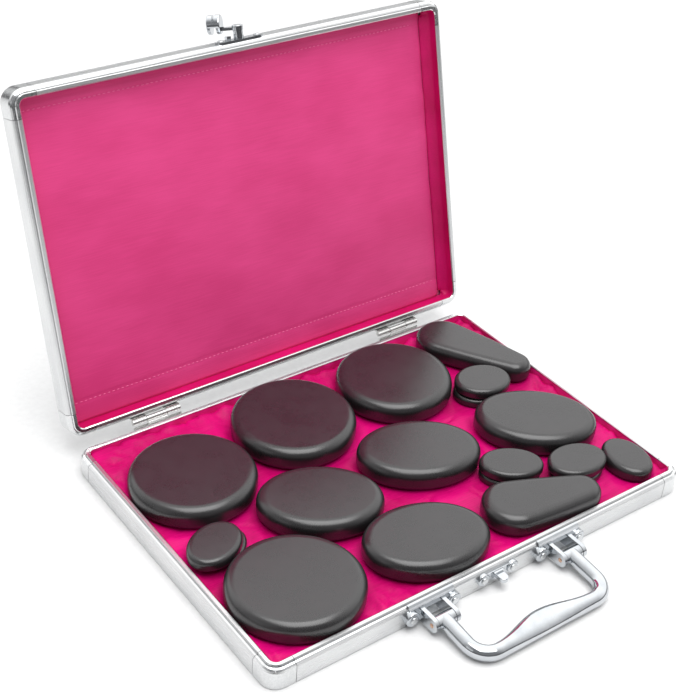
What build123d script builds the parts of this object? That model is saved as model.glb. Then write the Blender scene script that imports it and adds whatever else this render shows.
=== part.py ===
"""Basalt massage stone set in its hinged aluminium carrying case.

Millimetres. The origin is the middle of the case's underside, +X runs along the
length, -Y is the handle side and +Z is up. The lid is drawn open.
"""

from build123d import *
from math import cos, pi, radians, sin
import os

os.makedirs("parts", exist_ok=True)

# Case
LENGTH = 320.0
WIDTH = 223.0
TRAY_H = 15.8            # each half, from its outer skin to its lip
GAP = 0.4                # between the two lips when shut
LID_OPEN = 105.0         # degrees
PIN_Y = 114.2
PIN_Z = 17.0

# Frame section: u runs inwards from the outer face, z from the skin to the lip
CORNER_R = 10.0
CORNER_LEG = 17.0
SEAM = 0.3
LIP_IN = 5.9             # inner edge of the lip
WALL_IN = 5.0            # inner face of the rail under the lip
SLOT_U = 1.7
SLOT_Z = (1.1, 4.1)
CHAMBER_U = (1.3, 3.8)
CHAMBER_Z = (5.4, 12.6)
TONGUE = 8.0

# Lining and pads
PANEL_Z = (1.15, 4.05)
LINING_T = 0.7
PAD_TOP = 8.6
LID_PAD_TOP = 4.9

# Hinges
HINGE_X = 100.0
HINGE_L = 35.0
BARREL_R = 1.9
HINGE_PIN_R = 0.9
END_KNUCKLE = 10.0
KNUCKLE_GAP = 0.35
LEAF_T = 0.9

# Handle
HANDLE_X = -0.7          # middle of the handle
BRACKET_X = 49.6         # either side of it
BRACKET_PIN = (12.5, 7.4)   # out from the wall, up from the underside
RIVET_SPAN = 30.0
LOBE_R = 4.8
LOBE_T = 4.2
CHEEK_T = 2.6
CHEEK_OUT = 9.0
CHEEK_R = 4.5
PIN_R = 1.5
ROD_R = 4.8
BAIL_REACH = 33.4
BAIL_BEND = 12.5
BAIL_DROOP = 4.2         # degrees below level
GRIP_SWELL = 3.4
EYE_R = 4.3
EYE_W = 12.2

# Catch on the tray and latch on the lid
CATCH_Z = 8.4
CATCH_SPAN = 22.4
CATCH_LOBE = (4.2, 2.4)     # radius, thickness
LUG = (6.0, 3.0, 9.2)       # width, thickness, reach
LATCH_D = 6.6               # from the lid's lip
LATCH_SPAN = 27.0
LATCH_PLATE_T = 1.2
LATCH_REACH = 14.4
LATCH_REST = 44.0           # degrees past level, away from the tray
LATCH_POST_R = 3.3
LATCH_NECK_R = 2.0
LATCH_ARM_OUT = (6.8, 8.6)  # from the wall
KNOB_R = 6.2
KNOB_L = 8.8
KNOB_OUT = 10.6
KNOB_SLOT = 3.8

# Rivets
RIVET_R = 1.25
RIVET_HEAD_R = 2.3
RIVET_HEAD_H = 0.8
RIVET_FIT = 0.05

# Ovals on the pad: name, middle, half length, half width, turn, thickness
OVALS = [
    ("stone_large_1", (-113.0, 45.9), 40.6, 39.4, 0, 16.0),
    ("stone_large_2", (-27.8, 60.6), 41.7, 41.3, 46, 16.0),
    ("stone_large_3", (56.6, 62.0), 40.2, 39.8, 0, 16.0),
    ("stone_large_4", (-112.5, -65.5), 41.2, 39.2, 159, 16.0),
    ("stone_oval_1", (-58.7, -13.8), 39.4, 29.2, 151, 15.8),
    ("stone_oval_2", (22.1, -8.8), 40.6, 28.8, -24, 16.0),
    ("stone_oval_3", (-25.0, -75.0), 39.8, 29.2, 164, 15.6),
    ("stone_oval_4", (110.2, -23.2), 40.8, 28.8, 143, 16.0),
    ("stone_small_1_lower", (105.4, 27.6), 18.8, 15.6, -12, 6.4),
    ("stone_small_2_lower", (64.2, -50.0), 19.8, 14.0, 149, 5.6),
    ("stone_small_3_lower", (103.6, -70.0), 18.6, 14.8, 172, 5.6),
    ("stone_small_4_lower", (-127.8, -11.2), 18.4, 13.4, 26, 5.2),
    ("stone_small_5", (137.4, -82.4), 19.6, 14.4, 84, 10.2),
]
# Ovals lying on a lower small one
UPPERS = [
    ("stone_small_1_upper", (107.4, 27.8), 20.2, 16.4, -12, 7.8),
    ("stone_small_2_upper", (64.6, -50.2), 20.8, 14.6, 149, 7.6),
    ("stone_small_3_upper", (103.6, -69.8), 20.6, 15.2, 172, 7.4),
    ("stone_small_4_upper", (-134.2, -13.6), 20.0, 14.8, 26, 8.4),
]
# Teardrops: name, wide end (x, y, radius), narrow end (x, y, radius), thickness
DROPS = [
    ("stone_drop_1", (39.6, -80.6, 20.4), (85.6, -92.8, 12.4), 15.6),
    ("stone_drop_2", (118.5, 83.2, 19.6), (141.4, 32.8, 11.6), 15.2),
]
STACK_GAP = 0.3
REST_GAP = 0.05
RIM_TOP = 0.40           # shares of a stone's thickness
RIM_BOTTOM = 0.36

X_AXIS = (1, 0, 0)
Y_AXIS = (0, 1, 0)
Z_AXIS = (0, 0, 1)
WALL_Y = -WIDTH / 2
BACK_Y = WIDTH / 2
LID_SUM = 2 * TRAY_H + GAP


def save(shape, name):
    """Writes one node."""
    shape.label = name
    export_step(shape, f"parts/{name}.step")


def shut_lid(shape):
    """Mirrors something of the tray to where the shut lid has it."""
    return mirror(shape, about=Plane.XY).moved(Location((0, 0, LID_SUM)))


def opened(shape):
    """Swings something from the shut lid to the open one."""
    return shape.rotate(Axis((0, PIN_Y, PIN_Z), X_AXIS), -LID_OPEN)


def box(x, y, z):
    """A block from its (low, high) along each axis."""
    size = [b - a for a, b in (x, y, z)]
    mid = [(a + b) / 2 for a, b in (x, y, z)]
    return Pos(*mid) * Box(*size)


def rod_x(radius, x, y, z):
    """A cylinder along X between x[0] and x[1]."""
    spot = Pos((x[0] + x[1]) / 2, y, z)
    return spot * Rot(0, 90, 0) * Cylinder(radius, x[1] - x[0])


def rod_y(radius, x, y, z):
    """A cylinder along Y between y[0] and y[1]."""
    spot = Pos(x, (y[0] + y[1]) / 2, z)
    return spot * Rot(90, 0, 0) * Cylinder(radius, y[1] - y[0])


# ---------------------------------------------------------------- frame

SECTION = [
    (0.4, 0), (0, 0.4), (0, 12.2), (0.5, 13.3), (1.4, 14.1), (2.3, 14.5),
    (2.3, 13.9), (2.8, 13.9), (2.8, 15.2), (3.3, TRAY_H), (5.3, TRAY_H),
    (LIP_IN, 15.3), (LIP_IN, 14.9), (WALL_IN, 14.9), (WALL_IN, SLOT_Z[1]),
    (SLOT_U, SLOT_Z[1]), (SLOT_U, SLOT_Z[0]), (WALL_IN, SLOT_Z[0]), (WALL_IN, 0),
]


def section_at(x):
    """The frame's section, standing across the front rail at x."""
    plane = Plane(origin=(x, WALL_Y, 0), x_dir=Y_AXIS, z_dir=X_AXIS)
    return plane * make_face(Polyline(*SECTION, close=True).edges())


def rivet_holes(spots):
    """Cutters for rivets through the front wall, at (x, z)."""
    reach = (WALL_Y - 1, WALL_Y + 2.6)
    return [rod_y(RIVET_R + RIVET_FIT, x, reach, z) for x, z in spots]


def rail(run, holes=()):
    """A front rail of a tray whose side is run long."""
    half = run / 2 - CORNER_LEG - SEAM
    solid = extrude(section_at(-half), 2 * half, dir=X_AXIS)
    y = [WALL_Y + u for u in CHAMBER_U]
    solid -= box((-half - 1, half + 1), y, CHAMBER_Z)
    for cutter in holes:
        solid -= cutter
    return solid


def side_rail():
    """A front rail as long as the case is wide, turned to the right-hand side."""
    turned = rail(WIDTH).rotate(Axis.Z, 90)
    return turned.moved(Location((LENGTH / 2 - WIDTH / 2, 0, 0)))


def corner():
    """The front left corner casting, with tongues into both rails."""
    x = -LENGTH / 2 + CORNER_R
    y = WALL_Y + CORNER_R
    axis = Axis((x, y, 0), (0, 0, -1))
    face = section_at(x)
    leg = CORNER_LEG - CORNER_R
    fit = 0.1
    across = [WALL_Y + CHAMBER_U[0] + fit, WALL_Y + CHAMBER_U[1] - fit]
    height = [CHAMBER_Z[0] + fit, CHAMBER_Z[1] - fit]
    solid = revolve(face, axis, 90)
    front = extrude(face, leg, dir=X_AXIS)
    front += box((x + leg - 0.5, x + leg + TONGUE), across, height)
    side = extrude(face, leg, dir=(-1, 0, 0))
    side += box((x - leg - TONGUE, x - leg + 0.5), across, height)
    return solid + front + side.rotate(Axis((x, y, 0), Z_AXIS), -90)


def plate(inset, radius, z):
    """A rounded plate, inset from the case's outline."""
    outline = RectangleRounded(LENGTH - 2 * inset, WIDTH - 2 * inset, radius)
    return Pos(0, 0, z[0]) * extrude(outline, z[1] - z[0])


def tray(kind, front_holes, back_holes, pad_top):
    """{name: solid} of one half: four rails, four corners, the lining, and a panel whose
    stepped edge sits in the rails' slot, so that its outer face is level with them."""
    cast = corner()
    corners = {
        "front_left": cast,
        "front_right": mirror(cast, about=Plane.YZ),
        "back_left": mirror(cast, about=Plane.XZ),
        "back_right": cast.rotate(Axis.Z, 180),
    }
    right = side_rail()
    parts = {f"{kind}_corner_{k}": v for k, v in corners.items()}
    parts[f"{kind}_rail_front"] = rail(LENGTH, rivet_holes(front_holes))
    back = rail(LENGTH, rivet_holes(back_holes))
    parts[f"{kind}_rail_back"] = back.rotate(Axis.Z, 180)
    parts[f"{kind}_rail_right"] = right
    parts[f"{kind}_rail_left"] = mirror(right, about=Plane.YZ)
    panel = plate(SLOT_U + 0.1, CORNER_R - SLOT_U - 0.1, PANEL_Z)
    field = WALL_IN + 0.25
    parts[f"{kind}_panel"] = panel + plate(field, CORNER_R - field, (0, PANEL_Z[0] + 0.5))
    height = (PANEL_Z[1] + 0.1, 14.8)
    outer = WALL_IN + 0.05
    wall = plate(outer, CORNER_R - outer, height)
    outer += LINING_T
    wall -= plate(outer, CORNER_R - outer, (height[0] - 1, height[1] + 1))
    parts[f"{kind}_wall_lining"] = wall
    outer += 0.2
    pad = plate(outer, CORNER_R - outer, (PANEL_Z[1] + 0.05, pad_top))
    round_off = 0.45 * (pad_top - PANEL_Z[1])
    parts[f"{kind}_pad"] = fillet(pad.faces().sort_by(Axis.Z)[-1].edges(), round_off)
    return parts


bracket_xs = [HANDLE_X - BRACKET_X, HANDLE_X + BRACKET_X]
bracket_rivets = [
    (x + s * RIVET_SPAN / 2, BRACKET_PIN[1]) for x in bracket_xs for s in (-1, 1)
]
catch_rivets = [(s * CATCH_SPAN / 2, CATCH_Z) for s in (-1, 1)]
LATCH_Z = TRAY_H - LATCH_D
latch_rivets = [(s * LATCH_SPAN / 2, LATCH_Z) for s in (-1, 1)]
leaf_rivets = [
    (side * HINGE_X + s * 11.0, 9.0) for side in (-1, 1) for s in (-1, 1)
]

for name, solid in tray(
    "base", bracket_rivets + catch_rivets, leaf_rivets, PAD_TOP
).items():
    save(solid, name)
for name, solid in tray("lid", latch_rivets, leaf_rivets, LID_PAD_TOP).items():
    save(opened(shut_lid(solid)), name)


# --------------------------------------------------------------- rivets

def rivet(x, z, seat):
    """A rivet through the front wall, its domed head seated seat out from it."""
    out = WALL_Y - seat - 0.03
    head = rod_y(RIVET_HEAD_R, x, (out - RIVET_HEAD_H, out), z)
    head = fillet(head.edges().sort_by(Axis.Y)[0], 0.6)
    return head + rod_y(RIVET_R, x, (out - 0.1, WALL_Y + 2.2), z)


def to_back(shape):
    """Turns something of the front wall to the back wall."""
    return shape.rotate(Axis.Z, 180)


base_rivets = [rivet(x, z, LOBE_T) for x, z in bracket_rivets]
base_rivets += [rivet(x, z, CATCH_LOBE[1]) for x, z in catch_rivets]
leaf_seat = 0.05 + LEAF_T
base_rivets += [to_back(rivet(x, z, leaf_seat)) for x, z in leaf_rivets]
save(Compound(children=base_rivets), "base_rivets")

lid_rivets = [rivet(x, z, LATCH_PLATE_T) for x, z in latch_rivets]
lid_rivets += [to_back(rivet(x, z, leaf_seat)) for x, z in leaf_rivets]
lid_rivets = [opened(shut_lid(r)) for r in lid_rivets]
save(Compound(children=lid_rivets), "lid_rivets")


# --------------------------------------------------------------- hinges

def leaf(x, z_plate, knuckles):
    """A hinge leaf on the back wall, curled round the pin at each of its knuckles."""
    y = (BACK_Y + 0.05, BACK_Y + 0.05 + LEAF_T)
    solid = box((x - HINGE_L / 2, x + HINGE_L / 2), y, z_plate)
    near = min(z_plate, key=lambda z: abs(z - PIN_Z))
    for low, high in knuckles:
        span = (x + low, x + high)
        solid += box(span, y, sorted((near, PIN_Z)))
        solid += rod_x(BARREL_R, span, PIN_Y, PIN_Z)
        solid -= rod_x(HINGE_PIN_R + 0.05, span, PIN_Y, PIN_Z)
    for s in (-1, 1):
        z = 9.0 if z_plate[0] < PIN_Z else LID_SUM - 9.0
        solid -= rod_y(RIVET_R + RIVET_FIT, x + s * 11.0, (y[0] - 1, y[1] + 1), z)
    return solid


inner = HINGE_L / 2 - END_KNUCKLE
middle = [(-inner + KNUCKLE_GAP, inner - KNUCKLE_GAP)]
ends = [(-HINGE_L / 2, -inner), (inner, HINGE_L / 2)]
for side, x in (("left", -HINGE_X), ("right", HINGE_X)):
    save(leaf(x, (5.6, 14.2), middle), f"hinge_{side}_base_leaf")
    save(opened(leaf(x, (19.4, LID_SUM - 5.6), ends)), f"hinge_{side}_lid_leaf")
    span = (x - HINGE_L / 2 - 0.3, x + HINGE_L / 2 + 0.3)
    save(rod_x(HINGE_PIN_R, span, PIN_Y, PIN_Z), f"hinge_{side}_pin")


# --------------------------------------------------------------- handle

PIN_OUT, HANDLE_Z = BRACKET_PIN
HANDLE_Y = WALL_Y - PIN_OUT
HOOD = [
    (-0.02, 11.0), (-1.3, 11.0), (-1.3, 12.8), (-0.6, 14.3), (0.5, 15.3), (1.9, 15.4),
    (1.9, 14.8), (0.9, 14.45), (0.1, 13.5), (-0.1, 12.5),
]


def bracket(x):
    """A handle bracket: two riveted lobes, a web, two cheeks and a hood over the shoulder."""
    z = HANDLE_Z
    solid = box((x - RIVET_SPAN / 2, x + RIVET_SPAN / 2), (WALL_Y - 2.4, WALL_Y), (z - 3.6, z + 3.9))
    for s in (-1, 1):
        lobe = rod_y(LOBE_R, x + s * RIVET_SPAN / 2, (WALL_Y - LOBE_T, WALL_Y), z)
        solid += fillet(lobe.edges().sort_by(Axis.Y)[0], 1.0)
        span = sorted((x + s * (CHEEK_OUT - CHEEK_T), x + s * CHEEK_OUT))
        solid += box(span, (HANDLE_Y, WALL_Y), (z - CHEEK_R, z + CHEEK_R))
        solid += rod_x(CHEEK_R, span, HANDLE_Y, z)
    plane = Plane(origin=(x - 16.5, WALL_Y, 0), x_dir=Y_AXIS, z_dir=X_AXIS)
    solid += extrude(plane * make_face(Polyline(*HOOD, close=True).edges()), 33.0, dir=X_AXIS)
    for s in (-1, 1):
        solid -= rod_y(RIVET_R + RIVET_FIT, x + s * RIVET_SPAN / 2, (WALL_Y - 6, WALL_Y + 1), z)
    return solid - rod_x(PIN_R + 0.04, (x - 12, x + 12), HANDLE_Y, z)


for side, x in zip(("left", "right"), bracket_xs):
    save(bracket(x), f"handle_bracket_{side}")
pins = [rod_x(PIN_R, (x - 9.4, x + 9.4), HANDLE_Y, HANDLE_Z) for x in bracket_xs]
pins = [chamfer(p.edges(), 0.4) for p in pins]
save(Compound(children=pins), "handle_pins")


def bail():
    """The handle: a bent rod whose grip swells towards the case, drooping to the floor."""
    grip_y = -BAIL_REACH
    straight = BRACKET_X - BAIL_BEND
    sides = None
    for s in (-1, 1):
        x = s * BRACKET_X
        path = Line((x, 0, 0), (x, grip_y + BAIL_BEND, 0))
        mid = BAIL_BEND * (1 - cos(pi / 4))
        path += ThreePointArc(
            (x, grip_y + BAIL_BEND, 0),
            (x - s * mid, grip_y + mid, 0),
            (s * straight, grip_y, 0),
        )
        start = Plane(origin=(x, 0, 0), z_dir=(0, -1, 0))
        arm = sweep(start * Circle(ROD_R), path=path)
        arm += rod_x(EYE_R, (x - EYE_W / 2, x + EYE_W / 2), 0, 0)
        sides = arm if sides is None else sides + arm
    stations = []
    for i in range(9):
        x = -straight + i * 2 * straight / 8
        swell = GRIP_SWELL * cos(pi * x / (2 * straight)) ** 2
        plane = Plane(origin=(x, grip_y + swell, 0), x_dir=Y_AXIS, z_dir=X_AXIS)
        if swell < 1e-6:
            stations.append(plane * Circle(ROD_R))
        else:
            stations.append(plane * Ellipse(ROD_R + swell, ROD_R))
    solid = sides + loft(stations)
    for s in (-1, 1):
        x = s * BRACKET_X
        solid -= rod_x(PIN_R + 0.06, (x - 8, x + 8), 0, 0)
    drooped = solid.rotate(Axis.X, BAIL_DROOP)
    return drooped.moved(Location((HANDLE_X, HANDLE_Y, HANDLE_Z)))


save(bail(), "handle_bail")


# ------------------------------------------------------ catch and latch

def catch_plate():
    """The riveted strip that carries the lug."""
    radius, thick = CATCH_LOBE
    half = CATCH_SPAN / 2
    solid = box((-half, half), (WALL_Y - 1.2, WALL_Y), (CATCH_Z - 3.0, CATCH_Z + 3.0))
    for s in (-1, 1):
        lobe = rod_y(radius, s * half, (WALL_Y - thick, WALL_Y), CATCH_Z)
        solid += fillet(lobe.edges().sort_by(Axis.Y)[0], 0.8)
        solid -= rod_y(RIVET_R + RIVET_FIT, s * half, (WALL_Y - 4, WALL_Y + 1), CATCH_Z)
    return solid


def lug():
    """The tongue that the latch's knob slides over, on a collar."""
    wide, thick, reach = LUG
    root = WALL_Y - 1.25
    tip = WALL_Y - reach
    z = (CATCH_Z - thick / 2, CATCH_Z + thick / 2)
    solid = box((-wide / 2, wide / 2), (tip + wide / 2, root), z)
    solid += Pos(0, tip + wide / 2, CATCH_Z) * Cylinder(wide / 2, thick)
    solid = fillet(solid.edges().filter_by(GeomType.CIRCLE), 0.5)
    collar = box((-4.2, 4.2), (root - 1.4, root), (CATCH_Z - 2.6, CATCH_Z + 2.6))
    return solid + fillet(collar.edges().filter_by(Axis.Y), 1.2)


save(catch_plate(), "catch_plate")
save(lug(), "catch_lug")


def latch_plate():
    """The latch's riveted plate, with a small stop block."""
    strip = SlotOverall(LATCH_SPAN + 7.6, 7.6)
    plane = Plane(origin=(0, WALL_Y - 0.02, LATCH_Z), x_dir=X_AXIS, z_dir=(0, -1, 0))
    solid = extrude(plane * strip, LATCH_PLATE_T - 0.02)
    solid += box((-8.4, -5.4), (WALL_Y - 3.4, WALL_Y - 1), (LATCH_Z - 3.2, LATCH_Z - 0.2))
    for s in (-1, 1):
        solid -= rod_y(
            RIVET_R + RIVET_FIT, s * LATCH_SPAN / 2, (WALL_Y - 4, WALL_Y + 1), LATCH_Z
        )
    return solid


def latch_post():
    """The swivel post: a stout foot, a neck for the arm and a cap."""
    low, high = LATCH_ARM_OUT
    at = [WALL_Y - v for v in (LATCH_PLATE_T + 0.03, low - 0.15, high + 0.15, high + 1.2)]
    solid = rod_y(LATCH_POST_R, 0, (at[1], at[0]), LATCH_Z)
    solid += rod_y(LATCH_NECK_R, 0, (at[3], at[0]), LATCH_Z)
    cap = rod_y(LATCH_POST_R + 0.3, 0, (at[3], at[2]), LATCH_Z)
    return solid + fillet(cap.edges().sort_by(Axis.Y)[0], 0.5)


def latch_arm():
    """The swinging strip, level along -X, with its eye round the post's neck."""
    low, high = LATCH_ARM_OUT
    y = (WALL_Y - high, WALL_Y - low)
    solid = rod_y(3.7, 0, y, LATCH_Z)
    solid += box((-LATCH_REACH + KNOB_L / 2 + 0.05, 0), y, (LATCH_Z - 2.3, LATCH_Z + 2.3))
    return solid - rod_y(LATCH_NECK_R + 0.05, 0, (y[0] - 1, y[1] + 1), LATCH_Z)


def latch_knob():
    """The knob on the arm's end: a short drum, slotted to slide over the lug."""
    x = -LATCH_REACH
    out = WALL_Y - KNOB_OUT
    drum = rod_x(KNOB_R, (x - KNOB_L / 2, x + KNOB_L / 2), out, LATCH_Z)
    drum = fillet(drum.edges().filter_by(GeomType.CIRCLE), 1.0)
    slot = (x - KNOB_SLOT / 2, x + KNOB_SLOT / 2)
    drum -= box(slot, (WALL_Y - LUG[2] - 0.4, WALL_Y), (LATCH_Z - 9, LATCH_Z + 9))
    notch = (x - 0.7, x + 0.7)
    return drum - box(notch, (out - 9, out - 2.6), (LATCH_Z - 9, LATCH_Z + 9))


def swung(shape):
    """Turns the arm to where it hangs at rest: past level, away from the tray."""
    turned = shape.rotate(Axis((0, WALL_Y, LATCH_Z), Y_AXIS), -LATCH_REST)
    return opened(shut_lid(turned))


save(opened(shut_lid(latch_plate())), "latch_plate")
save(opened(shut_lid(latch_post())), "latch_post")
save(swung(latch_arm()), "latch_arm")
save(swung(latch_knob()), "latch_knob")


# --------------------------------------------------------------- stones

def pebble(outline, thick):
    """A flat-faced stone with a round rim, tucked in further below than above."""
    solid = extrude(outline, thick)
    top = solid.faces().sort_by(Axis.Z)[-1].edges()
    solid = fillet(top, RIM_TOP * thick)
    low = solid.faces().sort_by(Axis.Z)[0].edges()
    return fillet(low, RIM_BOTTOM * thick)


def drop_outline(wide, narrow):
    """The hull of two circles, its flanks bowed a little outwards."""
    (x1, y1, r1), (x2, y2, r2) = wide, narrow
    dx, dy = x2 - x1, y2 - y1
    run = (dx * dx + dy * dy) ** 0.5
    along = (dx / run, dy / run)
    across = (-along[1], along[0])
    lean = (r1 - r2) / run
    rise = (1 - lean * lean) ** 0.5
    bow = 0.6

    def spot(x, y, r, a, b):
        return (x + r * (a * along[0] + b * across[0]), y + r * (a * along[1] + b * across[1]))

    mid = ((x1 + x2) / 2, (y1 + y2) / 2, (r1 + r2) / 2 + bow)
    sides = []
    for s in (1, -1):
        start = spot(x1, y1, r1, lean, s * rise)
        middle = spot(*mid, lean, s * rise)
        end = spot(x2, y2, r2, lean, s * rise)
        sides.append((start, middle, end))
    edges = [ThreePointArc(*side) for side in sides]
    edges.append(ThreePointArc(sides[0][0], spot(x1, y1, r1, -1, 0), sides[1][0]))
    edges.append(ThreePointArc(sides[0][2], spot(x2, y2, r2, 1, 0), sides[1][2]))
    return make_face(edges)


def lay(solid, middle, turn, z):
    """Puts a stone down at its place."""
    return Pos(middle[0], middle[1], z) * Rot(0, 0, turn) * solid


floor = PAD_TOP + REST_GAP
for name, middle, long, wide, turn, thick in OVALS:
    save(lay(pebble(Ellipse(long, wide), thick), middle, turn, floor), name)
thickness = {row[0]: row[-1] for row in OVALS}
for name, middle, long, wide, turn, thick in UPPERS:
    rest = floor + thickness[name.replace("upper", "lower")] + STACK_GAP
    save(lay(pebble(Ellipse(long, wide), thick), middle, turn, rest), name)
for name, wide_end, narrow_end, thick in DROPS:
    save(Pos(0, 0, floor) * pebble(drop_outline(wide_end, narrow_end), thick), name)
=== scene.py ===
"""A basalt stone massage set in its flat aluminium case: extruded rails with cast corners, a satin
lining over foam, a chromed carrying handle and a turn latch. Shapes are worked out in millimetres
and become metres when their mesh is made."""
import math

import bpy
import numpy as np
from mathutils import Matrix, Vector


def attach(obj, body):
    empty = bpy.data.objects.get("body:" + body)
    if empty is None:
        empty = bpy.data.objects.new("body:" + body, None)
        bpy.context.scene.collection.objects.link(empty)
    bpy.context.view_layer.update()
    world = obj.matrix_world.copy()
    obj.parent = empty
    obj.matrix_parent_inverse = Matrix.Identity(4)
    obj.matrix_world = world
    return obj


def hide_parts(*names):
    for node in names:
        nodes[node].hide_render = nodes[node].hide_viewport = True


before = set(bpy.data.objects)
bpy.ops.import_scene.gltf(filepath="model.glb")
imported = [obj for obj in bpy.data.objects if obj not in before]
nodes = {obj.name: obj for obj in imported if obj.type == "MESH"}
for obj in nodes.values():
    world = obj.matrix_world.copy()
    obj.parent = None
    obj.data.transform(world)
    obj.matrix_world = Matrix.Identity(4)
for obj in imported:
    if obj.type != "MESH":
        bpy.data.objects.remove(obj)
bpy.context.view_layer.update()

MM = 0.001

# The case, as its drawing has it.
HALF_LENGTH, HALF_WIDTH = 160.0, 111.5     # to the outside of the rails
CORNER_R = 10.0                            # outside corner radius
HALF_CLOSED = 32.0                         # both halves' heights and the gap between their lips
PIN_Y, PIN_Z = 114.2, 17.0                 # the hinge's axis
LID_OPEN = math.radians(105)
FLOOR_Z, PAD_Z, LID_PAD_Z = 4.1, 8.6, 4.9  # sheet's inner face, foam's top in the base and in the lid
PAD_BOTTOM = FLOOR_Z + 0.02                # a hair above the sheet
LINING_IN = 5.4                            # middle of the lining cloth, in from the outside face
PAD_IN = 6.0                               # edge of the pads, in from the outside face
BOARD_SHORT = 6.0                          # how far the lid's board stops short of the right wall
STITCH_ROWS = (-96.5, 92.0)                # the stitches' places across the lid, front and hinge edge
RIM_SHARE = 0.36                           # radius of a stone's lower rim, as a share of its height
WALL_TOP, CLOTH_T = 14.6, 0.4              # top of the wall cloth under the lip, and its thickness
PLY_HALF, PLY_R = 1.05, 0.26               # half a stitch's length, and its thread's radius

# The eye: where it stands, the way it looks, its lean in degrees and its lens.
EYE, LOOK = (-0.45406, -0.52258, 0.57587), (0.51044, 0.6471, -0.56631)
LEAN, LENS = 4.148, 72.19


def place_camera():
    """The eye stands off the case's front left corner, looks down at 34.5 degrees and leans 4 degrees."""
    lens = bpy.data.cameras.new("camera")
    lens.lens, lens.sensor_width, lens.clip_start, lens.clip_end = LENS, 36, 0.01, 30
    eye = bpy.data.objects.new("camera", lens)
    bpy.context.scene.collection.objects.link(eye)
    look = Vector(LOOK).normalized()
    level = look.cross(Vector((0, 0, 1))).normalized()
    lean = math.radians(LEAN)
    up = level.cross(look) * math.cos(lean) - level * math.sin(lean)
    turn = Matrix((look.cross(up), up, -look)).transposed().to_4x4()
    eye.matrix_world = Matrix.Translation(EYE) @ turn
    bpy.context.scene.camera = eye


place_camera()
bpy.context.scene.view_settings.view_transform = "Standard"


# Materials

def linear(code):
    """The linear colour, with alpha, of an sRGB hex code such as "E8136F"."""
    parts = [int(code[i:i + 2], 16) / 255 for i in (0, 2, 4)]
    return tuple(c / 12.92 if c <= 0.04045 else ((c + 0.055) / 1.055) ** 2.4 for c in parts) + (1.0,)


def add(tree, kind, inputs=None, **settings):
    """Adds a node of that kind; inputs holds numbers, colours or the sockets they are linked from."""
    node = tree.nodes.new(kind)
    for name, value in settings.items():
        setattr(node, name, value)
    for name, value in (inputs or {}).items():
        if isinstance(value, bpy.types.NodeSocket):
            tree.links.new(value, node.inputs[name])
        else:
            node.inputs[name].default_value = value
    return node


def begin(name):
    """A new material with only its shader and output; returns it, its tree and the shader."""
    material = bpy.data.materials.new(name)
    material.use_nodes = True
    tree = material.node_tree
    tree.nodes.clear()
    shader = add(tree, "ShaderNodeBsdfPrincipled")
    add(tree, "ShaderNodeOutputMaterial", {"Surface": shader.outputs["BSDF"]})
    return material, tree, shader


def pattern_space(tree, size, turn=(0, 0, 0)):
    """Object coordinates in a frame turned by those degrees, with one unit to each size in mm."""
    place = add(tree, "ShaderNodeTexCoord")
    return add(tree, "ShaderNodeMapping", {
        "Vector": place.outputs["Object"], "Rotation": [math.radians(a) for a in turn],
        "Scale": [s * MM for s in size]}, vector_type="TEXTURE").outputs["Vector"]


def noise(tree, space, detail=3.0, rough=0.55):
    return add(tree, "ShaderNodeTexNoise",
               {"Vector": space, "Scale": 1.0, "Detail": detail, "Roughness": rough}).outputs["Fac"]


def spread(tree, value, low, high, start=0.3, end=0.7):
    """value from start to end, carried to low to high."""
    limits = {"Value": value, "From Min": start, "From Max": end, "To Min": low, "To Max": high}
    return add(tree, "ShaderNodeMapRange", limits).outputs["Result"]


def shade(tree, value, dark, light, start=0.3, end=0.7):
    """A colour between two hex codes as value goes from start to end."""
    ramp = add(tree, "ShaderNodeValToRGB", {"Fac": value})
    for stop, place, code in zip(ramp.color_ramp.elements, (start, end), (dark, light)):
        stop.position, stop.color = place, linear(code)
    return ramp.outputs["Color"]


def bump(tree, height, depth, strength=1.0, under=None):
    """A bump depth mm deep at strength, over another bump if there is one."""
    inputs = {"Height": height, "Distance": depth * MM, "Strength": strength}
    if under is not None:
        inputs["Normal"] = under
    return add(tree, "ShaderNodeBump", inputs).outputs["Normal"]


def link(tree, shader, **sockets):
    for name, socket in sockets.items():
        tree.links.new(socket, shader.inputs[name.replace("_", " ")])


def extruded_aluminium(name, turn):
    """Aluminium drawn through a die, etched and clear anodised: a silky grey metal whose die lines, about
    0.4 mm apart, run along the rail and stretch its highlights across it. turn lays x along the rail."""
    material, tree, shader = begin(name)
    shader.inputs["Metallic"].default_value = 1.0
    lines = noise(tree, pattern_space(tree, (70, 0.45, 0.45), turn), 4)
    film = noise(tree, pattern_space(tree, (34, 14, 14), turn))
    link(tree, shader,
         Base_Color=shade(tree, film, "D3D4D5", "DEDFDF"),
         Roughness=spread(tree, lines, 0.24, 0.36),
         Normal=bump(tree, lines, 0.02, 0.5))
    return material


def cast_corner(name="satin_plated_zinc_casting"):
    """Die-cast zinc, polished and plated in satin nickel-chrome: smoother and brighter than the rails,
    with the faint ripple that a casting keeps under its plating."""
    material, tree, shader = begin(name)
    shader.inputs["Metallic"].default_value = 1.0
    ripple = noise(tree, pattern_space(tree, (5, 5, 5)), 2)
    wear = noise(tree, pattern_space(tree, (1.2, 1.2, 1.2)), 5)
    link(tree, shader,
         Base_Color=shade(tree, wear, "D0D2D3", "E2E3E3"),
         Roughness=spread(tree, wear, 0.14, 0.24),
         Normal=bump(tree, ripple, 0.06, 0.4))
    return material


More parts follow.
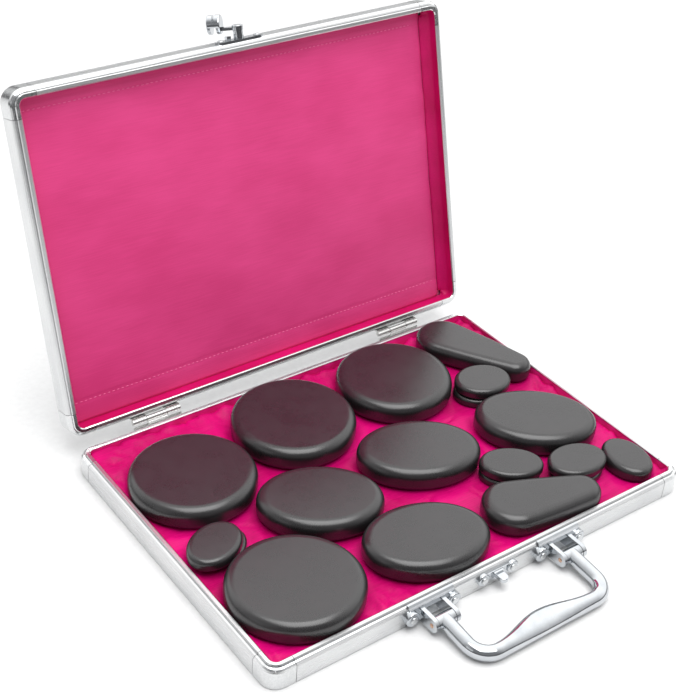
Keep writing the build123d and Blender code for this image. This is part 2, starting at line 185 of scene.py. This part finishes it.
def sheet_aluminium(name, turn):
    """Rolled aluminium sheet, brushed along the case on an abrasive belt, 0.3 mm between scratches, and
    lacquered: long broken hairlines and an even grey."""
    material, tree, shader = begin(name)
    shader.inputs["Metallic"].default_value = 1.0
    hair = noise(tree, pattern_space(tree, (24, 0.3, 0.3), turn), 6, 0.7)
    cloud = noise(tree, pattern_space(tree, (60, 40, 40), turn))
    link(tree, shader,
         Base_Color=shade(tree, hair, "C9CBCC", "E1E2E3"),
         Roughness=spread(tree, cloud, 0.30, 0.42),
         Normal=bump(tree, hair, 0.02, 0.6))
    return material


def chrome(name, rough, code="CED1D4"):
    """Steel or zinc, buffed and bright chrome plated over nickel: a near mirror, a little cool, with
    faint buffing waves and finger marks that soften it in patches about 15 mm across."""
    material, tree, shader = begin(name)
    shader.inputs["Metallic"].default_value = 1.0
    marks = noise(tree, pattern_space(tree, (15, 15, 15)), 4)
    waves = noise(tree, pattern_space(tree, (3, 3, 3)), 1)
    link(tree, shader,
         Base_Color=shade(tree, marks, "BDC1C5", code),
         Roughness=spread(tree, marks, rough, rough + 0.07),
         Normal=bump(tree, waves, 0.03, 0.3))
    return material


def plated_steel(name, dark, light, rough):
    """Pressed or turned steel with a thin barrel plating: duller than chrome, grained about 0.5 mm."""
    material, tree, shader = begin(name)
    shader.inputs["Metallic"].default_value = 1.0
    grain = noise(tree, pattern_space(tree, (0.5, 0.5, 0.5)), 4)
    link(tree, shader,
         Base_Color=shade(tree, grain, dark, light),
         Roughness=spread(tree, grain, rough, rough + 0.12),
         Normal=bump(tree, grain, 0.015, 0.4))
    return material


def satin(name, turn, dark, light, sheen=0.12, gloss=0.3):
    """Polyester satin, woven with long floats that lie along the case: a smooth deep pink with a soft
    lustre. The threads are 0.15 mm apart, drawn 0.7 mm apart so that the weave shows, under faint
    streaks where the yarn thickens and clouds where the cloth is rubbed."""
    material, tree, shader = begin(name)
    shader.inputs["Sheen Weight"].default_value = sheen
    shader.inputs["Sheen Roughness"].default_value = 0.35
    shader.inputs["Sheen Tint"].default_value = linear("FF7DB4")
    shader.inputs["Specular IOR Level"].default_value = gloss
    streaks = noise(tree, pattern_space(tree, (18, 0.7, 0.7), turn), 3)
    clouds = noise(tree, pattern_space(tree, (55, 34, 34), turn), 2)
    floats = add(tree, "ShaderNodeTexWave", {
        "Vector": pattern_space(tree, (1.4, 1.4, 1.4), turn), "Scale": 1.0, "Distortion": 1.2,
        "Detail": 1.0}, bands_direction="Y", wave_profile="SIN").outputs["Fac"]
    mixed = add(tree, "ShaderNodeMix", {"Factor": 0.35, "A": clouds, "B": streaks}).outputs["Result"]
    link(tree, shader,
         Base_Color=shade(tree, mixed, dark, light, 0.35, 0.65),
         Roughness=spread(tree, streaks, 0.42, 0.56),
         Normal=bump(tree, floats, 0.03, 0.35, bump(tree, streaks, 0.05, 0.3)))
    return material


def basalt(name="hand_smoothed_basalt"):
    """River basalt, ground, tumbled and oiled: near black, fine grained, with grey feldspar flecks under
    half a millimetre, tiny closed pores and a dull silky shine where hands have rubbed it."""
    material, tree, shader = begin(name)
    shader.inputs["IOR"].default_value = 1.66
    grain = noise(tree, pattern_space(tree, (0.5, 0.5, 0.5)), 5, 0.7)
    clouds = noise(tree, pattern_space(tree, (16, 16, 16)), 4)
    mixed = add(tree, "ShaderNodeMix", {"Factor": 0.5, "A": clouds, "B": grain}).outputs["Result"]
    pores = add(tree, "ShaderNodeTexVoronoi", {
        "Vector": pattern_space(tree, (2.4, 2.4, 2.4)), "Scale": 1.0}).outputs["Distance"]
    link(tree, shader,
         Base_Color=shade(tree, mixed, "1C1B1C", "292829", 0.35, 0.65),
         Roughness=spread(tree, mixed, 0.24, 0.33),
         Normal=bump(tree, spread(tree, pores, 0, 1, 0.04, 0.16), 0.05, 0.25,
                     bump(tree, grain, 0.02, 0.5)))
    return material


def thread(name):
    """Spun polyester sewing thread, two plies: paler than the satin because it catches the light."""
    material, tree, shader = begin(name)
    shader.inputs["Sheen Weight"].default_value = 0.4
    ply = noise(tree, pattern_space(tree, (0.6, 0.2, 0.2)), 2)
    link(tree, shader, Base_Color=shade(tree, ply, "E0508F", "F274AA"),
         Roughness=spread(tree, ply, 0.5, 0.7), Normal=bump(tree, ply, 0.03, 0.5))
    return material


def studio_floor():
    """Matt white board, with a barely seen mottle from its coating."""
    material, tree, shader = begin("white_board")
    coat = noise(tree, pattern_space(tree, (4, 4, 4)), 4)
    shader.inputs["Specular IOR Level"].default_value = 0.2
    link(tree, shader, Base_Color=shade(tree, coat, "DEDEDE", "E4E4E4"),
         Roughness=spread(tree, coat, 0.75, 0.9))
    return material


def paint(names, material):
    """Gives those CAD nodes that material."""
    for name in names:
        slots = nodes[name].data.materials
        slots.clear()
        slots.append(material)


ALONG_X, ALONG_Y, UP_LID, LID_FACE = (0, 0, 0), (0, 0, 90), (0, -75, 90), (75, 0, 0)
cast = cast_corner()
mirror = chrome("bright_chrome", 0.05)
pressed = chrome("chromed_pressed_steel", 0.09)
hinge_steel = plated_steel("nickel_plated_steel", "D3D3D1", "E8E8E6", 0.22)
rivet_metal = plated_steel("aluminium_rivet", "C6C8C9", "E0E2E3", 0.24)
pin_metal = plated_steel("coppered_steel_pin", "B98F76", "DDBBA4", 0.2)
stone = basalt()

paint([n for n in nodes if "corner" in n], cast)
paint(["base_rail_front", "base_rail_back"], extruded_aluminium("anodised_rail_along_base", ALONG_X))
paint(["base_rail_left", "base_rail_right"], extruded_aluminium("anodised_rail_across_base", ALONG_Y))
paint(["lid_rail_front", "lid_rail_back"], extruded_aluminium("anodised_rail_along_lid", LID_FACE))
paint(["lid_rail_left", "lid_rail_right"], extruded_aluminium("anodised_rail_up_lid", UP_LID))
paint(["base_panel"], sheet_aluminium("brushed_sheet_under", ALONG_X))
paint(["lid_panel"], sheet_aluminium("brushed_sheet_lid", LID_FACE))
paint([n for n in nodes if n.startswith("hinge_")], hinge_steel)
paint(["base_rivets", "lid_rivets"], rivet_metal)
paint(["handle_pins"], pin_metal)
paint(["handle_bracket_left", "handle_bracket_right", "catch_plate", "latch_plate"], pressed)
paint(["handle_bail", "catch_lug", "latch_post", "latch_arm", "latch_knob"], mirror)
paint([n for n in nodes if n.startswith("stone_")], stone)


# Shapes

def to_lid(points):
    """Points given as in the base, turned over onto the lid's place and opened about the hinge's axis:
    z becomes the closed height less z, then y and z turn by the open angle about the pin."""
    dy, dz = points[..., 1] - PIN_Y, HALF_CLOSED - points[..., 2] - PIN_Z
    c, s = math.cos(LID_OPEN), math.sin(LID_OPEN)
    return np.stack([points[..., 0], PIN_Y + c * dy + s * dz, PIN_Z - s * dy + c * dz], -1)


def cells(rows, columns, first=0, wrap=False):
    """The four corners of every cell of a grid whose points are numbered row by row from first."""
    r = np.arange(rows if wrap else rows - 1)[:, None]
    c = np.arange(columns - 1)[None]
    q = np.stack([r * columns + c, (r + 1) % rows * columns + c,
                  (r + 1) % rows * columns + c + 1, r * columns + c + 1], -1)
    return q.reshape(-1, 4) + first


def piece(name, points, faces, material, body):
    """A smooth mesh object of those points in mm, standing in the shared frame and riding on a body."""
    mesh = bpy.data.meshes.new(name)
    mesh.from_pydata((points.reshape(-1, 3) * MM).tolist(), [], np.asarray(faces).tolist())
    mesh.shade_smooth()
    mesh.materials.append(material)
    made = bpy.data.objects.new(name, mesh)
    bpy.context.scene.collection.objects.link(made)
    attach(made, body)
    return made


def finish_mesh(made, *modifiers):
    """Puts those modifiers on, each a kind and its settings, and applies them."""
    for kind, settings in modifiers:
        m = made.modifiers.new(kind.lower(), kind)
        for name, value in settings.items():
            setattr(m, name, value)
    bpy.context.view_layer.update()
    done = made.evaluated_get(bpy.context.evaluated_depsgraph_get())
    mesh = bpy.data.meshes.new_from_object(done)
    made.modifiers.clear()
    made.data = mesh
    mesh.shade_smooth()


def ripple(x, y, size, seed, stretch=1.0):
    """Smooth unevenness, mostly from -1 to 1: a quarter of the sum of nine plane waves about size long,
    with directions and phases from a seeded draw; stretch above 1 makes its ridges run along x."""
    rng = np.random.default_rng(seed)
    way = rng.uniform(0, math.pi, 9)
    k = 2 * math.pi / (size * rng.uniform(0.75, 1.35, 9))
    start = rng.uniform(0, 2 * math.pi, 9)
    waves = [np.sin(k[i] * (x * math.cos(way[i]) / stretch + y * math.sin(way[i])) + start[i])
             for i in range(9)]
    return sum(waves) / 4.0


def crease(x, y, size, seed, depth):
    """Narrow valleys depth deep, as folded satin has: a bell curve of the ripple's value, so that the
    valleys run where the ripple crosses 0, let down along each line by a second ripple."""
    line = np.exp(-(ripple(x, y, size, seed) / 0.10) ** 2)
    return depth * line * np.clip(ripple(x, y, size * 0.8, seed + 1) + 0.25, 0, 1)


def round_plan(half_x, half_y, radius, rows, columns):
    """A grid that fills a rectangle with round corners: even steps, and each corner's square cell is
    drawn in to its quarter circle by the ratio of the longer side to the distance."""
    a, b = np.meshgrid(np.linspace(-half_x, half_x, rows), np.linspace(-half_y, half_y, columns),
                       indexing="ij")
    qa, qb = np.abs(a) - (half_x - radius), np.abs(b) - (half_y - radius)
    inside = (qa > 0) & (qb > 0)
    far = np.hypot(qa, qb)
    pull = np.where(inside, np.maximum(qa, qb) / np.where(far > 0, far, 1), 1)
    x = np.where(inside, np.sign(a) * (half_x - radius + qa * pull), a)
    y = np.where(inside, np.sign(b) * (half_y - radius + qb * pull), b)
    return x, y


def cushion(name, x, y, top, material, body, place=lambda p: p):
    """A closed pad: a top sheet at the heights top over the plan x, y, the same plan flat at PAD_BOTTOM,
    and an upright wall between the two rims. Turning it over for the lid turns its faces round too."""
    rows, columns = x.shape
    upper = np.stack([x, y, top], -1)
    lower = np.stack([x, y, np.full_like(x, PAD_BOTTOM)], -1)
    count = rows * columns
    rim = np.concatenate([np.arange(columns), np.arange(1, rows) * columns + columns - 1,
                          (rows - 1) * columns + np.arange(columns - 2, -1, -1),
                          np.arange(rows - 2, 0, -1) * columns])
    after = np.roll(rim, -1)
    wall = np.stack([rim, after, after + count, rim + count], -1)
    faces = np.concatenate([cells(rows, columns), cells(rows, columns, count)[:, ::-1], wall])
    points = place(np.concatenate([upper.reshape(-1, 3), lower.reshape(-1, 3)]))
    return piece(name, points, faces[:, ::-1] if place is to_lid else faces, material, body)


def stone_plans(resting_below):
    """For each stone whose underside is not above resting_below: the loop of its flat underside in 72
    points, the height that it lies at, and the radius of the rounding round it."""
    plans = []
    for name in sorted(n for n in nodes if n.startswith("stone_")):
        mesh = nodes[name].data
        co = np.empty(len(mesh.vertices) * 3, np.float32)
        mesh.vertices.foreach_get("co", co)
        co = co.reshape(-1, 3) / MM
        low, high = co[:, 2].min(), co[:, 2].max()
        if low > resting_below:
            continue
        flat = co[co[:, 2] < low + 0.02][:, :2]
        middle = flat.mean(0)
        angle = np.arctan2(*(flat - middle).T[::-1])
        ways = np.linspace(-math.pi, math.pi, 73)[:-1, None]
        pick = np.argmin(np.abs(angle[None] - ways), 1)
        plans.append((flat[pick], low, RIM_SHARE * (high - low)))
    return plans


def beyond(loop, x, y):
    """How far each point lies outside a convex loop, 0 inside it: the least distance to its sides."""
    p = np.stack([x, y], -1)[..., None, :]
    a, b = loop, np.roll(loop, -1, 0)
    side = b - a
    length = np.maximum((side ** 2).sum(-1), 1e-9)
    t = np.clip(((p - a) * side).sum(-1) / length, 0, 1)
    gap = np.linalg.norm(p - a - t[..., None] * side, axis=-1).min(-1)
    cross = side[:, 0] * (p[..., 1] - a[:, 1]) - side[:, 1] * (p[..., 0] - a[:, 0])
    return np.where((cross > -1e-6).all(-1), 0, gap)


def base_cushion():
    """The foam pad under the stones, in loose satin. Its height is the foam's, with a loft that rises
    away from the stones, puckers that run in from the walls and die out, wrinkles and creases in the open
    cloth, soft folds in the corners, and a dip and a tucked edge along the walls. Near each stone it
    is held under the quarter circle of the stone's lower rim. Every fall and wave is in mm."""
    hx, hy = HALF_LENGTH - PAD_IN, HALF_WIDTH - PAD_IN
    x, y = round_plan(hx, hy, CORNER_R - PAD_IN + 0.5, 177, 123)
    plans = stone_plans(PAD_Z + 0.6)
    gaps = np.stack([beyond(loop, x, y) for loop, low, radius in plans])
    near = np.maximum(gaps.min(0) - 6, 0)
    wall = np.minimum(hx - np.abs(x), hy - np.abs(y))
    along = np.where(hx - np.abs(x) < hy - np.abs(y), y * np.sign(x), x * np.sign(y) + 400)
    loft = 1.5 * (1 - np.exp(-near / 7))
    puckers = ripple(along, wall * 0.35, 15, 4) * np.exp(-wall / 15) * 2.6 * (1 - np.exp(-near / 5))
    wrinkles = ripple(x, y, 22, 7, 1.6) * 1.3 * (1 - np.exp(-near / 6))
    fine = ripple(x, y, 9, 11, 0.8) * 0.18 * (1 - np.exp(-near / 4))
    fine = fine - crease(x, y, 34, 12, 2.8) * (1 - np.exp(-near / 4))
    fine = fine - crease(x, y, 21, 15, 2.2) * np.exp(-wall / 18)
    corner = np.hypot(hx - np.abs(x), hy - np.abs(y))
    fold = np.exp(-(corner / 26) ** 2) * (1.2 + 0.9 * np.cos(corner * 0.45 + 0.6))
    back_left = 3.6 * np.exp(-(np.hypot(hx + x, hy - y) / 30) ** 2)
    roll = 1.6 * np.exp(-wall / 0.9) - 2.8 * np.exp(-wall / 8)
    height = PAD_Z - 0.2 + loft + puckers + wrinkles + fine + fold + back_left - roll
    for (loop, low, radius), gap in zip(plans, gaps):
        reach = np.clip(gap - 1.0, 0, radius)
        under = low + radius - np.sqrt(radius ** 2 - reach ** 2)
        height = np.where(gap < radius + 1.0, np.minimum(height, under - 0.12), height)
    height = np.clip(height, FLOOR_Z + 0.4, WALL_TOP - 1.0)
    cloth = satin("satin_in_base", ALONG_X, "A80050", "DA0074", 0.05, 0.18)
    made = cushion("base_cushion", x, y, height, cloth, "tray")
    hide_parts("base_pad")


def lid_panel_pad():
    """The padded board in the lid, covered in satin drawn tight: a flat face with long shallow waves,
    dented along its two rows of stitches and rolled over at its right edge, which stops short of the
    wall. Its height falls as a quarter circle towards that edge."""
    hx, hy = HALF_LENGTH - PAD_IN, HALF_WIDTH - PAD_IN
    x, y = round_plan(hx, hy, CORNER_R - PAD_IN + 0.5, 177, 123)
    x = (x + hx) * (2 * hx - BOARD_SHORT) / (2 * hx) - hx
    rim = np.minimum(hx - BOARD_SHORT - x, 7.0) / 7.0
    height = LID_PAD_Z + 1.0 + 0.28 * ripple(x, y, 75, 21) + 0.05 * ripple(x, y, 14, 22, 2.5)
    height = height - 1.7 * (1 - np.sqrt(np.clip(1 - (1 - rim) ** 2.6, 0, 1)))
    for row in STITCH_ROWS:
        height = height - 0.42 * np.exp(-((y - row) / 0.9) ** 2)
    edge = hx - BOARD_SHORT - x
    height = height + 0.25 * np.exp(-edge / 9) * ripple(y, x * 0.2, 17, 23)
    height = height + 0.35 * np.exp(-((edge - 8) / 1.6) ** 2)
    cloth = satin("satin_on_lid_board", LID_FACE, "D03676", "E04486", 0.16)
    made = cushion("lid_pad_cover", x, y, height, cloth, "lid", to_lid)
    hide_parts("lid_pad")


def base_lean(nx, t):
    """In the base the cloth stands off its wall by up to a third of a millimetre at the bottom."""
    return 0.35 * t ** 2


def lid_lean(nx, t):
    """In the lid it does the same, but on the right it curves in to meet the short board."""
    right = np.clip(nx * 2.5, 0, 1)
    return 0.35 * t ** 2 + right * (BOARD_SHORT + 0.4) * np.clip((t - 0.4) / 0.6, 0, 1) ** 2.2


def wall_cloth(half, body, lean, seed, pucker, dark, light):
    """A strip of satin round the walls, from under the lip to the pad. It follows the rounded rectangle
    that lies LINING_IN inside the case, a side and a corner for each quarter turn; lean gives how far it
    leans in at each place and height, and pucker how deep its upright folds stand out, as a ripple along
    the wall that is never below 0."""
    hx, hy, r = HALF_LENGTH - LINING_IN, HALF_WIDTH - LINING_IN, CORNER_R - LINING_IN
    turn = np.linspace(0, math.pi / 2, 12)[1:-1]
    path = []
    for quarter in range(4):
        a, b, count = (hy, hx, 150) if quarter % 2 else (hx, hy, 100)
        side = np.stack([np.full(count, a), np.linspace(r - b, b - r, count),
                         np.ones(count), np.zeros(count)], -1)
        bend = np.stack([a - r + r * np.cos(turn), b - r + r * np.sin(turn),
                         np.cos(turn), np.sin(turn)], -1)
        run = np.concatenate([side, bend])
        for _ in range(quarter):
            run = run[:, [1, 0, 3, 2]] * (-1, 1, -1, 1)
        path.append(run)
    path = np.concatenate(path)
    t = np.linspace(0, 1, 17)[None]
    px, py, nx, ny = (path[:, i][:, None] for i in range(4))
    way = np.concatenate([[0], np.cumsum(np.hypot(*np.diff(path[:, :2], axis=0).T))])[:, None]
    z = WALL_TOP + (FLOOR_Z + 0.35 - WALL_TOP) * t
    fold = pucker * np.clip(0.5 + 0.7 * ripple(way, t * 4, 13, seed), 0, 1.2) * np.sin(math.pi * t) ** 0.7
    inward = lean(nx, t) + fold
    points = np.stack([px - nx * inward, py - ny * inward, z + 0 * px], -1)
    faces = cells(len(path), 17, wrap=True)
    if half == "lid":
        points, faces = to_lid(points), faces[:, ::-1]
    cloth = satin(half + "_wall_cloth_satin", LID_FACE if half == "lid" else ALONG_X, dark, light)
    made = piece(half + "_wall_cloth", points, faces, cloth, body)
    finish_mesh(made, ("SOLIDIFY", {"thickness": CLOTH_T * MM, "offset": 0.0}))
    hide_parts(half + "_wall_lining")


def lid_stitches(pitch, material):
    """The two rows of running stitch: each stitch is a flattened spindle whose radius is the square root
    of 1 less the square of its place along it, sunk to half its height in the cloth."""
    hx = HALF_LENGTH - PAD_IN
    middles = np.arange(-hx + 5, hx - BOARD_SHORT - 4, pitch)
    sides, steps = 6, 7
    t = np.linspace(-1, 1, steps)[:, None]
    a = np.linspace(0, 2 * math.pi, sides + 1)[None, :-1]
    fat = np.sqrt(1 - t ** 2) * PLY_R + 0.004
    one = np.stack([PLY_HALF * t + 0 * a, fat * np.cos(a), fat * np.sin(a) * 0.8], -1)
    rng = np.random.default_rng(5)
    points = []
    for row in STITCH_ROWS:
        skew = rng.normal(0, 0.05, len(middles))
        lift = LID_PAD_Z + 0.72 + 0.28 * ripple(middles, np.full_like(middles, row), 75, 21)
        shift = np.stack([middles, row + skew, lift], -1)
        points.append((one.transpose(1, 0, 2)[None] + shift[:, None, None]).reshape(-1, 3))
    points = np.concatenate(points)
    ring = cells(sides, steps, wrap=True)
    first = sides * steps * np.arange(len(points) // (sides * steps))
    faces = (ring[None] + first[:, None, None]).reshape(-1, 4)
    made = piece("lid_stitches", to_lid(points), faces, material, "lid")


base_cushion()
lid_panel_pad()
# The base's wall cloth gets paler satin colours than the cushion beside it: painted light, standing in for
# the light these walls lack.
wall_cloth("base", "tray", base_lean, 31, 0.9, "CC086A", "EA2A88")
# The lid's wall cloth gets darker satin colours than the lid's board: painted shade, for the shade that
# falls on these walls.
wall_cloth("lid", "lid", lid_lean, 32, 0.25, "B80054", "D0066A")
lid_stitches(3.3, thread("pink_thread"))


# Stage and light

def stage():
    """A white floor under the case, a big soft light overhead, and a sky that is bright above and behind,
    dimmer in front and dark in a skirt near the floor, so that bright metal has something to show."""
    mesh = bpy.data.meshes.new("floor")
    mesh.from_pydata([(-6, -6, 0), (6, -6, 0), (6, 6, 0), (-6, 6, 0)], [], [(0, 1, 2, 3)])
    mesh.materials.append(studio_floor())
    floor = bpy.data.objects.new("floor", mesh)
    floor.location.z = -0.0002
    bpy.context.scene.collection.objects.link(floor)

    world = bpy.data.worlds.new("studio")
    bpy.context.scene.world = world
    world.use_nodes = True
    tree = world.node_tree
    tree.nodes.clear()
    way = add(tree, "ShaderNodeTexCoord").outputs["Generated"]
    front = add(tree, "ShaderNodeVectorMath", {0: way, 1: (0.62, 0.78, 0.0)}, operation="DOT_PRODUCT")
    glow = add(tree, "ShaderNodeValToRGB", {"Fac": spread(tree, front.outputs["Value"], 0, 1, -1, 1)})
    glow.color_ramp.interpolation = "EASE"
    stops = glow.color_ramp.elements
    stops[0].position, stops[0].color = 0.16, (0.16, 0.16, 0.165, 1)
    stops[1].position, stops[1].color = 0.80, (1.0, 1.0, 1.0, 1)
    height = add(tree, "ShaderNodeSeparateXYZ", {"Vector": way}).outputs["Z"]
    lift = spread(tree, height, 0, 1, 0.06, 0.34)
    skirt = add(tree, "ShaderNodeMix", {"Factor": lift, 6: (0.05, 0.05, 0.052, 1), 7: glow.outputs["Color"]},
                data_type="RGBA").outputs[2]
    back = add(tree, "ShaderNodeBackground", {"Color": skirt, "Strength": 1.75})
    add(tree, "ShaderNodeOutputWorld", {"Surface": back.outputs["Background"]})

    for name, place, size, power in (("overhead_softbox", (-0.1, -0.45, 1.9), 1.6, 33.0),
                                     ("left_softbox", (-1.9, -0.2, 0.8), 0.9, 1.2)):
        lamp = bpy.data.lights.new(name, "AREA")
        lamp.shape, lamp.size, lamp.energy = "SQUARE", size, power
        made = bpy.data.objects.new(name, lamp)
        made.location = place
        made.rotation_euler = (Vector((0, 0, 0.02)) - Vector(place)).to_track_quat("-Z", "Y").to_euler()
        bpy.context.scene.collection.objects.link(made)


stage()
